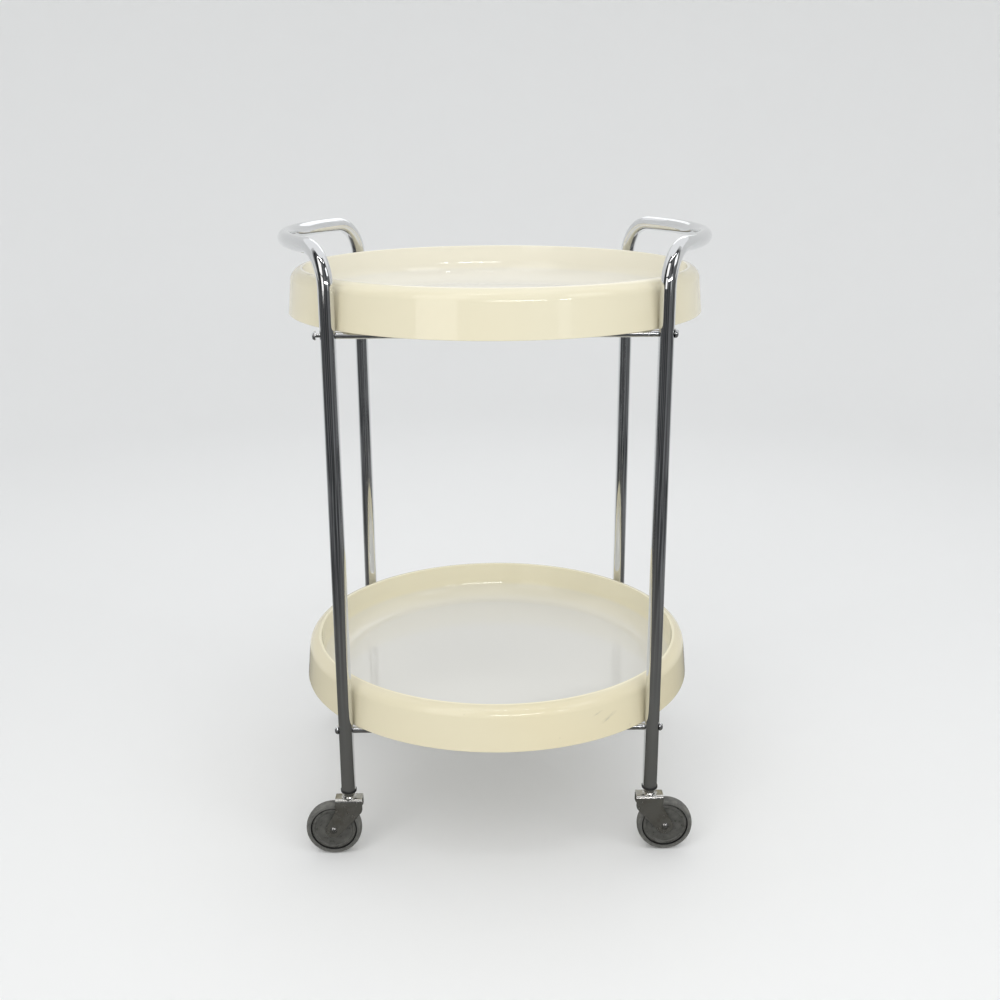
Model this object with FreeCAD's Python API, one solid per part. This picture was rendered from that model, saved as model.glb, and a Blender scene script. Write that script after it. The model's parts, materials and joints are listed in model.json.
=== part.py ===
import FreeCAD, Part
import os
from math import asin, atan, cos, hypot, pi, radians, sin, sqrt, tan

# Round bar cart, in millimetres. Z is up, the floor is at 0 and the trays' axis is the Z axis.
# The front is -Y. A person at the front has the left side frame at -X.

# Trays
tray_radius = 228.5
tray_height = 48.0
tray_wall = 3.0
rim_round = 13.0
rim_edge_round = 1.0
skirt_draft = radians(5.5)
well_draft = radians(3.0)
well_fillet = 28.0
foot_round = 0.6 * tray_wall
lower_rod_height = 151.5
upper_rod_height = 584.5

# Side frames
tube_diameter = 16.0
tube_wall = 1.2
handle_above_rim = 32.8
handle_bow = 60.0
handle_bend_radius = 40.0

# Cross rods and their screws
rod_diameter = 7.0
screw_diameter = 4.0
screw_engagement = 12.0
screw_head_diameter = 9.5
screw_head_height = 4.0
loose_screw_back_out = 3.5

# Caster wheels and forks
wheel_diameter = 62.0
wheel_width = 12.0
tyre_depth = 6.5
tyre_crown = 1.0
tyre_groove_width = 1.3
tyre_groove_depth = 2.2
hub_boss_diameter = 15.0
hub_lip_width = 3.0
hub_dish = 1.0
caster_trail = 18.0
fork_width = 30.0
fork_plate = 2.0
fork_bend_radius = 1.0
fork_shoulder = 15.0
fork_boss_radius = 9.0
crown_clearance = 5.5
axle_diameter = 5.0
axle_head_diameter = 8.0
axle_head_height = 1.8
sleeve_wall = 1.0

# Caster swivels
shank_diameter = 6.0
shank_head_overhang = 2.0
shank_head_height = 2.0
ball_diameter = 2.0
ball_count = 8
cap_wall = 1.0
cap_top = 2.2
cup_rise = 2.5
cup_lip = 0.5
cup_flank = 1.4
pin_diameter = 8.8
pin_root_length = 12.0
pin_head_length = 5.0
pin_tip_length = 3.0
grip_ring_length = 9.0
grip_ring_wall = 0.9
grip_ring_slit = 1.2
socket_length = 40.0
flange_height = 3.0
flange_overhang = 0.8

# Clearances
leg_clearance = 0.4
tray_seat_gap = 0.2
contact_gap = 0.02
hole_clearance = 0.2
running_fit = 0.06
swivel_gap = 0.35
ball_play = 0.03
wheel_side_gap = 1.0
boss_side_gap = 0.4

# Places worked out from the sizes
tube_radius = tube_diameter / 2
tube_bore_radius = tube_radius - tube_wall
leg_circle = tray_radius + leg_clearance + tube_radius
leg_offset = leg_circle * sqrt(0.5)
rod_radius = rod_diameter / 2
tray_foot_above_rod = rod_radius + tray_seat_gap
handle_height = upper_rod_height + tray_foot_above_rod + tray_height + handle_above_rim
screw_radius = screw_diameter / 2
wheel_radius = wheel_diameter / 2
crown_under = wheel_diameter + crown_clearance
crown_top = crown_under + fork_plate
cup_top = crown_top + cup_rise
shank_radius = shank_diameter / 2
ball_radius = ball_diameter / 2
ball_circle = shank_radius + swivel_gap + ball_radius
recess_radius = ball_circle + ball_radius + swivel_gap
recess_top = cup_top + ball_diameter + 2 * ball_play
cap_radius = recess_radius + cap_wall
cap_top_height = recess_top + cap_top
tube_end = cap_top_height + flange_height
pin_radius = pin_diameter / 2
fork_inner_half = wheel_width / 2 + wheel_side_gap
fork_outer_half = fork_inner_half + fork_plate
axle_radius = axle_diameter / 2
sleeve_bore_radius = axle_radius + contact_gap
sleeve_radius = sleeve_bore_radius + sleeve_wall
hub_rim_radius = wheel_radius - tyre_depth

sides = (("left", -1), ("right", 1))
ends = (("front", -1), ("rear", 1))
levels = (("top", upper_rod_height), ("bottom", lower_rod_height))


def vector(x, y, z):
    return FreeCAD.Vector(x, y, z)


def closed_face(start, steps, place):
    """Face inside a closed outline of 2-D points: a step is a line's end, or an arc's middle and end."""
    edges = []
    here = start
    for step in steps + [start]:
        if len(step) == 2 and isinstance(step[0], tuple):
            middle, there = step
            edges.append(Part.Arc(place(here), place(middle), place(there)).toShape())
        else:
            there = step
            edges.append(Part.LineSegment(place(here), place(there)).toShape())
        here = there
    return Part.Face(Part.Wire(edges))


def turned_about_z(start, steps):
    """Solid turned about the Z axis from an outline of (radius, height) points."""
    face = closed_face(start, steps, lambda p: vector(p[0], 0, p[1]))
    return face.revolve(vector(0, 0, 0), vector(0, 0, 1), 360)


def turned_about_y(start, steps):
    """Solid turned about the Y axis from an outline of (radius, distance along Y) points."""
    face = closed_face(start, steps, lambda p: vector(p[0], p[1], 0))
    return face.revolve(vector(0, 0, 0), vector(0, 1, 0), 360)


def ring_about_z(outer_radius, inner_radius, low, high):
    outer = Part.makeCylinder(outer_radius, high - low, vector(0, 0, low))
    return outer.cut(Part.makeCylinder(inner_radius, high - low, vector(0, 0, low)))


def on_circle(centre, radius, angle):
    """Point of a circle at an angle from the first axis, in a 2-D outline."""
    return (centre[0] + radius * cos(angle), centre[1] + radius * sin(angle))


def dome_middle(radius, height):
    """Middle of the arc of a spherical dome, from the radius of its rim and its height."""
    ball = (radius ** 2 + height ** 2) / (2 * height)
    half_angle = atan(height / radius)
    return (ball * sin(half_angle), height - ball + ball * cos(half_angle))


def moulded_tray(foot_height):
    """One tray: skirt, rounded rim, drafted wall and flat floor, in one open-bottomed shell."""
    foot_centre = (tray_radius - foot_round, foot_round)
    skirt_low = on_circle(foot_centre, foot_round, skirt_draft)
    rim_centre_height = tray_height - rim_round
    skirt_high_z = rim_centre_height + rim_round * sin(skirt_draft)
    skirt_high = (skirt_low[0] - tan(skirt_draft) * (skirt_high_z - skirt_low[1]), skirt_high_z)
    rim_centre = (skirt_high[0] - rim_round * cos(skirt_draft), rim_centre_height)
    edge_centre = (rim_centre[0], tray_height - rim_edge_round)
    wall_angle = pi - well_draft
    wall_high = on_circle(edge_centre, rim_edge_round, wall_angle)
    drop = wall_high[1] + well_fillet * sin(well_draft) - tray_wall - well_fillet
    wall_low = (wall_high[0] - drop * tan(well_draft), wall_high[1] - drop)
    fillet_centre = on_circle(wall_low, well_fillet, wall_angle)
    hidden_fillet = well_fillet + tray_wall
    hidden_wall_low = on_circle(fillet_centre, hidden_fillet, -well_draft)
    hidden_rise = rim_centre_height - hidden_wall_low[1]
    hidden_wall_high = (hidden_wall_low[0] + hidden_rise * tan(well_draft), rim_centre_height)
    hidden_rim = rim_round - tray_wall
    hidden_skirt_high = on_circle(rim_centre, hidden_rim, skirt_draft)
    hidden_skirt_low = (hidden_skirt_high[0] + tan(skirt_draft) * hidden_skirt_high[1], 0)
    tray = turned_about_z((tray_radius - foot_round, 0), [
        (on_circle(foot_centre, foot_round, (skirt_draft - pi / 2) / 2), skirt_low),
        skirt_high,
        (on_circle(rim_centre, rim_round, (skirt_draft + pi / 2) / 2), (rim_centre[0], tray_height)),
        (on_circle(edge_centre, rim_edge_round, (wall_angle + pi / 2) / 2), wall_high),
        wall_low,
        (on_circle(fillet_centre, well_fillet, -(pi / 2 + well_draft) / 2), (fillet_centre[0], tray_wall)),
        (0, tray_wall),
        (0, 0),
        (fillet_centre[0], 0),
        (on_circle(fillet_centre, hidden_fillet, -(pi / 2 + well_draft) / 2), hidden_wall_low),
        hidden_wall_high,
        (on_circle(rim_centre, hidden_rim, pi / 3), hidden_skirt_high),
        hidden_skirt_low,
    ])
    tray.translate(vector(0, 0, foot_height))
    return tray


def frame_centre_line(side):
    """Centre line of a side frame: front leg, bend, level bow of the handle, bend, rear leg."""
    leg_x = side * leg_offset
    bend_start = handle_height - handle_bend_radius
    turn = pi / 2 - 2 * atan(handle_bow / (leg_offset + handle_bend_radius))
    halves = []
    for end in (-1, 1):
        foot = vector(leg_x, end * leg_offset, tube_end)
        low = vector(leg_x, end * leg_offset, bend_start)
        outward = vector(side * cos(turn), -end * sin(turn), 0)
        bend_centre = low + outward * handle_bend_radius
        middle = bend_centre + (vector(0, 0, 1) - outward) * (handle_bend_radius * sqrt(0.5))
        high = bend_centre + vector(0, 0, handle_bend_radius)
        halves.append((foot, low, middle, high))
    (foot_1, low_1, middle_1, high_1), (foot_2, low_2, middle_2, high_2) = halves
    handle_middle = vector(side * (leg_offset + handle_bow), 0, handle_height)
    return Part.Wire([
        Part.LineSegment(foot_1, low_1).toShape(),
        Part.Arc(low_1, middle_1, high_1).toShape(),
        Part.Arc(high_1, handle_middle, high_2).toShape(),
        Part.Arc(high_2, middle_2, low_2).toShape(),
        Part.LineSegment(low_2, foot_2).toShape(),
    ])


def bent_side_frame(side):
    """Hollow bent tube with a cross hole through each leg at each rod."""
    path = frame_centre_line(side)
    foot = vector(side * leg_offset, -leg_offset, tube_end)
    solids = []
    for radius in (tube_radius, tube_bore_radius):
        section = Part.Face(Part.Wire(Part.makeCircle(radius, foot, vector(0, 0, 1))))
        solids.append(path.makePipe(section))
    tube = solids[0].cut(solids[1])
    hole_radius = screw_radius + hole_clearance
    for _, height in levels:
        for _, end in ends:
            start = vector(side * leg_offset - tube_diameter, end * leg_offset, height)
            tube = tube.cut(Part.makeCylinder(hole_radius, 2 * tube_diameter, start, vector(1, 0, 0)))
    return tube


def cross_rod(end, height):
    """Round bar between two legs, bored at both ends for its screws."""
    half = leg_offset - tube_radius - contact_gap
    along = vector(1, 0, 0)
    rod = Part.makeCylinder(rod_radius, 2 * half, vector(-half, end * leg_offset, height), along)
    depth = screw_engagement + screw_radius
    for start in (-half, half - depth):
        bore = Part.makeCylinder(screw_radius + contact_gap, depth, vector(start, end * leg_offset, height), along)
        rod = rod.cut(bore)
    return rod


def dome_screw(side, end, height, back_out):
    """Dome-head screw through a leg into a rod's end, head outward."""
    head_radius = screw_head_diameter / 2
    shank = tube_diameter + 2 * contact_gap + screw_engagement
    screw = turned_about_z((0, screw_head_height), [
        (dome_middle(head_radius, screw_head_height), (head_radius, 0)),
        (screw_radius, 0),
        (screw_radius, -shank),
        (0, -shank),
    ])
    screw.rotate(vector(0, 0, 0), vector(0, 1, 0), 90 * side)
    seat = leg_offset + tube_radius + contact_gap + back_out
    screw.translate(vector(side * seat, end * leg_offset, height))
    return screw


def tangent_point(start, centre, radius, turn):
    """Where a line from a point touches a circle, on the side that turn (1 or -1) gives."""
    across = centre[0] - start[0]
    down = centre[1] - start[1]
    distance = hypot(across, down)
    reach = sqrt(distance ** 2 - radius ** 2)
    angle = turn * asin(radius / distance)
    ux = (across * cos(angle) - down * sin(angle)) / distance
    uz = (across * sin(angle) + down * cos(angle)) / distance
    return (start[0] + reach * ux, start[1] + reach * uz)


def fork_side_outline():
    """Side view of the fork: straight at the crown, then tapering to the axle boss."""
    half = fork_width / 2
    axle = (caster_trail, wheel_radius)
    shoulder = crown_top - fork_shoulder
    trailing = tangent_point((half, shoulder), axle, fork_boss_radius, 1)
    leading = tangent_point((-half, shoulder), axle, fork_boss_radius, -1)
    reach = hypot(caster_trail, shoulder - wheel_radius) / fork_boss_radius
    lowest = (axle[0] + caster_trail / reach, axle[1] - (shoulder - wheel_radius) / reach)
    face = closed_face((-half, cup_top), [
        (half, cup_top),
        (half, shoulder),
        trailing,
        (lowest, leading),
        (-half, shoulder),
    ], lambda p: vector(p[0], -fork_outer_half, p[1]))
    return face.extrude(vector(0, 2 * fork_outer_half, 0))


def fork_channel():
    """Sheet bent to a channel: crown on top, a plate down each side."""
    outer = fork_bend_radius + fork_plate
    bend = (fork_outer_half - outer, crown_top - outer)
    half_turn = pi / 4
    front = (-bend[0], bend[1])
    low = 0
    length = fork_width / 2 + caster_trail + fork_boss_radius
    face = closed_face((fork_outer_half, low), [
        (fork_outer_half, bend[1]),
        (on_circle(bend, outer, half_turn), (bend[0], crown_top)),
        (front[0], crown_top),
        (on_circle(front, outer, pi - half_turn), (-fork_outer_half, front[1])),
        (-fork_outer_half, low),
        (-fork_inner_half, low),
        (-fork_inner_half, front[1]),
        (on_circle(front, fork_bend_radius, pi - half_turn), (front[0], crown_under)),
        (bend[0], crown_under),
        (on_circle(bend, fork_bend_radius, half_turn), (fork_inner_half, bend[1])),
        (fork_inner_half, low),
    ], lambda p: vector(-fork_width / 2, p[0], p[1]))
    return face.extrude(vector(length, 0, 0))


def pressed_fork():
    """Pressed fork with a raised bearing cup, its pivot hole and two axle holes."""
    cup_top_radius = recess_radius + cup_lip
    cup_base_radius = cup_top_radius + cup_flank
    cup = Part.makeCone(cup_base_radius, cup_top_radius, cup_rise, vector(0, 0, crown_top))
    cup = cup.fuse(Part.makeCylinder(cup_base_radius, fork_plate / 2, vector(0, 0, crown_top - fork_plate / 2)))
    hollow = Part.makeCone(cup_base_radius, cup_top_radius, cup_rise, vector(0, 0, crown_under))
    fork = fork_channel().common(fork_side_outline()).fuse(cup).cut(hollow)
    fork = fork.cut(Part.makeCylinder(shank_radius + running_fit, cup_top, vector(0, 0, crown_under - fork_plate)))
    across = vector(caster_trail, -2 * fork_outer_half, wheel_radius)
    axle_hole = Part.makeCylinder(axle_radius + contact_gap, 4 * fork_outer_half, across, vector(0, 1, 0))
    return fork.cut(axle_hole).removeSplitter()


def swivel_stem():
    """Stem: peened head, shank through the fork, bearing cap and the pin that the socket grips."""
    head_top = cup_top - fork_plate - swivel_gap
    head_low = head_top - shank_head_height
    head_radius = shank_radius + shank_head_overhang
    neck_radius = pin_radius - grip_ring_wall
    neck_low = cap_top_height + pin_root_length
    neck_high = neck_low + grip_ring_length + 2 * swivel_gap
    pin_high = neck_high + pin_head_length
    return turned_about_z((0, head_low), [
        (head_radius - shank_head_height / 2, head_low),
        (head_radius, head_low + shank_head_height / 2),
        (head_radius, head_top),
        (shank_radius, head_top),
        (shank_radius, recess_top),
        (recess_radius, recess_top),
        (recess_radius, cup_top + swivel_gap),
        (cap_radius, cup_top + swivel_gap),
        (cap_radius, cap_top_height),
        (pin_radius, cap_top_height),
        (pin_radius, neck_low),
        (neck_radius, neck_low),
        (neck_radius, neck_high),
        (pin_radius, neck_high),
        (pin_radius, pin_high),
        (neck_radius, pin_high + pin_tip_length),
        (0, pin_high + pin_tip_length),
    ])


def split_grip_ring():
    """Split spring sleeve in the neck of the pin."""
    low = cap_top_height + pin_root_length + swivel_gap
    high = low + grip_ring_length
    ring = ring_about_z(pin_radius + contact_gap, pin_radius - grip_ring_wall + contact_gap, low, high)
    corner = vector(0, -grip_ring_slit / 2, low)
    return ring.cut(Part.makeBox(2 * pin_radius, grip_ring_slit, grip_ring_length, corner))


def stem_socket():
    """Plastic plug in the tube's end, with the flange that shows under the leg."""
    bore = pin_radius + 2 * contact_gap
    barrel = tube_bore_radius - contact_gap
    flange = tube_radius + flange_overhang
    top = tube_end + socket_length
    chamfer = (barrel - bore) / 2
    return turned_about_z((bore, cap_top_height), [
        (flange, cap_top_height),
        (flange, tube_end),
        (barrel, tube_end),
        (barrel, top - chamfer),
        (barrel - chamfer, top),
        (bore, top),
    ])


def ball_ring():
    """Ring of separate balls between the cup and the cap."""
    balls = []
    for number in range(ball_count):
        angle = 2 * pi * number / ball_count
        centre = vector(ball_circle * cos(angle), ball_circle * sin(angle), cup_top + ball_play + ball_radius)
        balls.append(Part.makeSphere(ball_radius, centre))
    return Part.makeCompound(balls)


def axle_rivet():
    """Rivet through both plates of the fork, with a low dome at each end."""
    head = axle_head_diameter / 2
    seat = fork_outer_half
    tip = seat + axle_head_height
    middle, rise = dome_middle(head, axle_head_height)
    rivet = turned_about_y((0, -tip), [
        ((middle, -seat - rise), (head, -seat)),
        (axle_radius, -seat),
        (axle_radius, seat),
        (head, seat),
        ((middle, seat + rise), (0, tip)),
    ])
    return at_axle(rivet)


def axle_sleeve():
    """Spacer tube on the rivet, between the plates."""
    half = fork_inner_half
    tube = turned_about_y((sleeve_bore_radius, -half), [
        (sleeve_radius, -half),
        (sleeve_radius, half),
        (sleeve_bore_radius, half),
    ])
    return at_axle(tube)


def wheel_hub():
    """Hub with a raised lip, a shallow dish and a boss round the bore."""
    bore = sleeve_radius + running_fit
    boss = hub_boss_diameter / 2
    boss_end = fork_inner_half - boss_side_gap
    lip = wheel_width / 2 - wheel_side_gap / 2
    dish = lip - hub_dish
    inner_lip = hub_rim_radius - hub_lip_width
    edge = hub_lip_width / 2
    edge_centre = (hub_rim_radius - edge, lip - edge)
    corner = on_circle(edge_centre, edge, pi / 4)
    hub = turned_about_y((bore, -boss_end), [
        (boss, -boss_end),
        (boss + hub_dish, -dish),
        (inner_lip - hub_dish, -dish),
        (inner_lip, -lip),
        (edge_centre[0], -lip),
        ((corner[0], -corner[1]), (hub_rim_radius, -edge_centre[1])),
        (hub_rim_radius, edge_centre[1]),
        (corner, (edge_centre[0], lip)),
        (inner_lip, lip),
        (inner_lip - hub_dish, dish),
        (boss + hub_dish, dish),
        (boss, boss_end),
        (bore, boss_end),
    ])
    return at_axle(hub)


def wheel_tyre():
    """Crowned tyre, with a groove on each face where it meets the hub."""
    bore = hub_rim_radius + contact_gap
    groove = bore + tyre_groove_width
    face = wheel_width / 2
    step = face - tyre_groove_depth
    shoulder = wheel_radius - tyre_crown
    tyre = turned_about_y((bore, -step), [
        (groove, -step),
        (groove, -face),
        (shoulder, -face),
        ((wheel_radius, 0), (shoulder, face)),
        (groove, face),
        (groove, step),
        (bore, step),
    ])
    return at_axle(tyre)


def at_axle(shape):
    shape.translate(vector(caster_trail, 0, wheel_radius))
    return shape


caster_pieces = (
    ("socket", stem_socket),
    ("stem", swivel_stem),
    ("grip_ring", split_grip_ring),
    ("ball_race", ball_ring),
    ("fork", pressed_fork),
    ("axle_rivet", axle_rivet),
    ("axle_sleeve", axle_sleeve),
    ("hub", wheel_hub),
    ("tyre", wheel_tyre),
)


def save(shape, name):
    shape.exportStep("parts/" + name + ".step")


os.makedirs("parts", exist_ok=True)

for side_name, side in sides:
    save(bent_side_frame(side), side_name + "_side_frame")

for level_name, height in levels:
    save(moulded_tray(height + tray_foot_above_rod), level_name + "_tray")
    for end_name, end in ends:
        rod_name = level_name + "_" + end_name
        save(cross_rod(end, height), rod_name + "_rod")
        for side_name, side in sides:
            loose = (level_name, end_name, side_name) == ("top", "front", "left")
            back_out = loose_screw_back_out if loose else 0
            save(dome_screw(side, end, height, back_out), rod_name + "_" + side_name + "_screw")

for piece_name, make_piece in caster_pieces:
    for end_name, end in ends:
        for side_name, side in sides:
            piece = make_piece()
            # Every wheel trails outward, so the left casters are turned half round.
            if side < 0:
                piece.rotate(vector(0, 0, 0), vector(0, 0, 1), 180)
            piece.translate(vector(side * leg_offset, end * leg_offset, 0))
            save(piece, end_name + "_" + side_name + "_caster_" + piece_name)
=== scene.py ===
# %% [markdown]
# # A round bar cart in chrome and cream plastic
# The cart is two bent chrome tubes, four thin chrome rods, two deep round trays and four small swivel
# casters. The measured model comes first, as a fixed frame: it says where every piece is and which body
# it moves with. This lesson then dresses it. Each piece that shows is modelled again with smooth edges
# and rounds, and gets a finish with the wear of an old cart.

# %% Load the measured frame
import json
from math import atan, atan2, cos, hypot, pi, radians, sin, tan

import bmesh
import bpy
from mathutils import Matrix, Vector, geometry


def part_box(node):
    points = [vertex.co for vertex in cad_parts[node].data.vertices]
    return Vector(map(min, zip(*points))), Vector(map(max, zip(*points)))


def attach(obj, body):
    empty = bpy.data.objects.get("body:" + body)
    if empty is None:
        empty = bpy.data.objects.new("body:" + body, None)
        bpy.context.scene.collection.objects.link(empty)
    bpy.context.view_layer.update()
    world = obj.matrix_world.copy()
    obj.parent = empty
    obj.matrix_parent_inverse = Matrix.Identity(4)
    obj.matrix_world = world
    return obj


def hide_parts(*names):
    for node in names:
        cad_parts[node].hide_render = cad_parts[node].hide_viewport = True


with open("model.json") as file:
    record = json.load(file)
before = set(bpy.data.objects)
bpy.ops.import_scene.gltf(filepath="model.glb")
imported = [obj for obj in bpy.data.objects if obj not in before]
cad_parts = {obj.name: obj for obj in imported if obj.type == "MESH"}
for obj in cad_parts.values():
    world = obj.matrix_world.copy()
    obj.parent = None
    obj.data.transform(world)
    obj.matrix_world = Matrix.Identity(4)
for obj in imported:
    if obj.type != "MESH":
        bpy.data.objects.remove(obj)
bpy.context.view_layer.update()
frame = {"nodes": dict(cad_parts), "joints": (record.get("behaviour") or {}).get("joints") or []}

nodes = frame["nodes"]
joints = {joint["name"]: joint for joint in frame["joints"]}

# %% [markdown]
# ## Sizes
# Places are read from the frame, so that the new pieces land exactly on the measured ones. What a box
# can't tell, such as the round of a rim or the radius of a bend, is a named size here, in metres.

# %% Read the main places
mm = 0.001
corners = [(end, side) for end in ("front", "rear") for side in ("left", "right")]
levels = ("top", "bottom")
end_sign = {"front": -1, "rear": 1}
side_sign = {"left": -1, "right": 1}

leg_offset = joints["front_right_swivel_turn"]["pos_m"][0]
axle_offset = joints["front_right_wheel_roll"]["pos_m"][0]
wheel_radius = joints["front_right_wheel_roll"]["pos_m"][2]
caster_trail = axle_offset - leg_offset
frame_low, frame_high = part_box("right_side_frame")
tube_radius = leg_offset - frame_low.x
tube_end = frame_low.z
handle_height = frame_high.z - tube_radius
handle_bow = frame_high.x - tube_radius - leg_offset
print("leg offset", round(leg_offset, 4), "tube radius", round(tube_radius, 4), "bow", round(handle_bow, 4))

# %% [markdown]
# ## Helpers for shapes
# Most pieces of the cart are turned: a few points give half of the section, the corners are rounded by a
# vertex bevel, and one spin sweeps the line round its axis. Rounding the line before the spin costs far
# fewer faces than bevelling the finished ring, and every round keeps its own radius.

# %% Draw and round a section line
weld_distance = 1e-6


def section_line(bm, points):
    """Wire through a few points; returns its vertices."""
    verts = [bm.verts.new(point) for point in points]
    for first, second in zip(verts, verts[1:]):
        bm.edges.new((first, second))
    return verts


def trim_vertex(bm, vert, offset, segments):
    """Rounds a corner of a wire or a flat face, from the given distance along its edges."""
    bmesh.ops.bevel(bm, geom=[vert], offset=offset, offset_type="OFFSET", segments=segments, profile=0.5,
                    affect="VERTICES", material=-1)


def round_vertex(bm, vert, radius, segments):
    """Rounds a corner to about the given radius."""
    before, after = [edge.other_vert(vert).co for edge in vert.link_edges]
    turn = pi - (before - vert.co).angle(after - vert.co)
    trim_vertex(bm, vert, radius * tan(turn / 2), segments)


def spin_round(bm, axis, steps):
    """Sweeps every wire of the mesh once round an axis through the origin and closes the seam."""
    bmesh.ops.spin(bm, geom=bm.verts[:] + bm.edges[:], cent=(0, 0, 0), axis=axis, angle=2 * pi, steps=steps,
                   use_merge=True)
    bmesh.ops.remove_doubles(bm, verts=bm.verts, dist=weld_distance)
    bmesh.ops.recalc_face_normals(bm, faces=bm.faces)


def turned(points, rounds, axis="Z", steps=64):
    """Ring or disc from (radius, along-axis) points; rounds is {point number: (radius, segments)}."""
    bm = bmesh.new()
    if axis == "Z":
        places = [(across, 0, along) for across, along in points]
        direction = (0, 0, 1)
    else:
        places = [(across, along, 0) for across, along in points]
        direction = (0, 1, 0)
    verts = section_line(bm, places)
    for number, (radius, segments) in rounds.items():
        round_vertex(bm, verts[number], radius, segments)
    spin_round(bm, direction, steps)
    return bm


def face_up(bm, sample):
    """Turns a whole sheet over where its sample face points down."""
    if sample.normal.z < 0:
        bmesh.ops.reverse_faces(bm, faces=bm.faces)


def ease_edges(bm, corner, radius, segments):
    """Rounds every edge whose faces turn by more than the corner angle."""
    bm.normal_update()
    edges = [edge for edge in bm.edges if edge.calc_face_angle(0) > corner]
    bmesh.ops.bevel(bm, geom=edges, offset=radius, offset_type="OFFSET", segments=segments, profile=0.5,
                    affect="EDGES", material=-1)

# %% [markdown]
# A finished piece is a mesh object at the origin. It rides on the body that carries it, hides the
# measured nodes that it stands for, and carries its finish. Faces are shaded smooth and only real
# corners stay sharp. Weighted normals let the large faces rule, so that a straight wall reflects as a
# straight wall right up to its round.

# %% Finish a piece
sharp_angle = radians(38)


def finished_piece(name, bm, finish, body, stands_for):
    """Mesh object with its finish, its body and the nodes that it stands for."""
    mesh = bpy.data.meshes.new(name)
    bm.to_mesh(mesh)
    bm.free()
    mesh.shade_smooth()
    mesh.set_sharp_from_angle(angle=sharp_angle)
    mesh.materials.append(finish)
    piece = bpy.data.objects.new(name, mesh)
    bpy.context.scene.collection.objects.link(piece)
    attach(piece, body)
    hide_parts(*stands_for)
    weighting = piece.modifiers.new("large_faces_rule", "WEIGHTED_NORMAL")
    weighting.keep_sharp = True
    return piece

# %% [markdown]
# ## Helpers for finishes
# A finish is a small node tree: texture nodes on Object coordinates feed the colour, the roughness and
# the bump of one Principled shader. A short function that adds a node and fills its inputs keeps the
# trees readable.

# %% Add nodes to a finish
def new_finish(name):
    """Empty material with its Principled shader."""
    material = bpy.data.materials.new(name)
    material.use_nodes = True
    tree = material.node_tree
    shader = next(node for node in tree.nodes if node.type == "BSDF_PRINCIPLED")
    return material, tree, shader


def add(tree, kind, inputs=None, **settings):
    """Adds a shader node, with its settings, and fills or links its inputs."""
    node = tree.nodes.new("ShaderNode" + kind)
    for name, value in settings.items():
        setattr(node, name, value)
    fill(tree, node, inputs or {})
    return node


def fill(tree, node, inputs):
    """Links an input to a socket, or sets its value."""
    for name, value in inputs.items():
        if isinstance(value, bpy.types.NodeSocket):
            tree.links.new(value, node.inputs[name])
        else:
            node.inputs[name].default_value = value


def object_place(tree):
    return add(tree, "TexCoord").outputs["Object"]


def noise(tree, place, scale, detail=2.0, roughness=0.5):
    inputs = {"Vector": place, "Scale": scale, "Detail": detail, "Roughness": roughness}
    return add(tree, "TexNoise", inputs).outputs["Fac"]


def ramp(tree, value, low, high, start=0.0, end=1.0):
    """Smooth step: start below low, end above high."""
    inputs = {"Value": value, "From Min": low, "From Max": high, "To Min": start, "To Max": end}
    return add(tree, "MapRange", inputs, interpolation_type="SMOOTHSTEP").outputs["Result"]


def product(tree, first, second):
    return add(tree, "Math", {0: first, 1: second}, operation="MULTIPLY").outputs["Value"]


def total(tree, first, second):
    return add(tree, "Math", {0: first, 1: second}, operation="ADD").outputs["Value"]


def mixed(tree, share, first, second):
    """Colour that goes from the first to the second as the share rises."""
    node = tree.nodes.new("ShaderNodeMix")
    node.data_type = "RGBA"
    colours = [socket for socket in node.inputs if socket.type == "RGBA"]
    fill(tree, node, {"Factor": share})
    for socket, value in zip(colours, (first, second)):
        if isinstance(value, bpy.types.NodeSocket):
            tree.links.new(value, socket)
        else:
            socket.default_value = (*value, 1.0)
    return next(socket for socket in node.outputs if socket.type == "RGBA")


def bumped(tree, shader, height, strength, distance):
    node = add(tree, "Bump", {"Height": height, "Strength": strength, "Distance": distance})
    tree.links.new(node.outputs["Normal"], shader.inputs["Normal"])


def stretched(tree, place, scale, turn=(0.0, 0.0, 0.0)):
    """Coordinates scaled, and turned, so that a texture runs in streaks."""
    return add(tree, "Mapping", {"Vector": place, "Scale": scale, "Rotation": turn}).outputs["Vector"]


speck_core = 0.4
speck_step = 0.01


def specks(tree, place, scale, size, share):
    """Mask of small round specks in some of the cells of a scattered pattern."""
    cells = add(tree, "TexVoronoi", {"Vector": place, "Scale": scale, "Randomness": 1.0})
    dot = ramp(tree, cells.outputs["Distance"], size, speck_core * size)
    pick = add(tree, "SeparateColor", {"Color": cells.outputs["Color"]})
    chosen = ramp(tree, pick.outputs["Red"], 1 - share, 1 - share + speck_step)
    return product(tree, dot, chosen)

# %% [markdown]
# ## Cream plastic
# The trays are thick glossy plastic. Age has turned the walls and skirts cream, while the floor of each
# well has stayed nearly white, and the change runs softly through the fillet. Its quick first step, just
# below the bright line on the wall, is partly that paling and partly a painted reflection of the bright
# room. So the colour follows the distance from the trays' axis, and the lower tray is a little deeper in
# colour. Fine rubbed scratches, a few specks, and two scuffs and three marks on the lower skirt keep it
# from looking new.

# %% Masks for the cream plastic
def from_axis(tree, place):
    """Distance of a point from the upright axis of the trays."""
    level = add(tree, "VectorMath", {0: place, 1: (1, 1, 0)}, operation="MULTIPLY").outputs["Vector"]
    return add(tree, "VectorMath", {0: level}, operation="LENGTH").outputs["Value"]


smear_stretch = (1.3, 3.0, 3.5)


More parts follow.
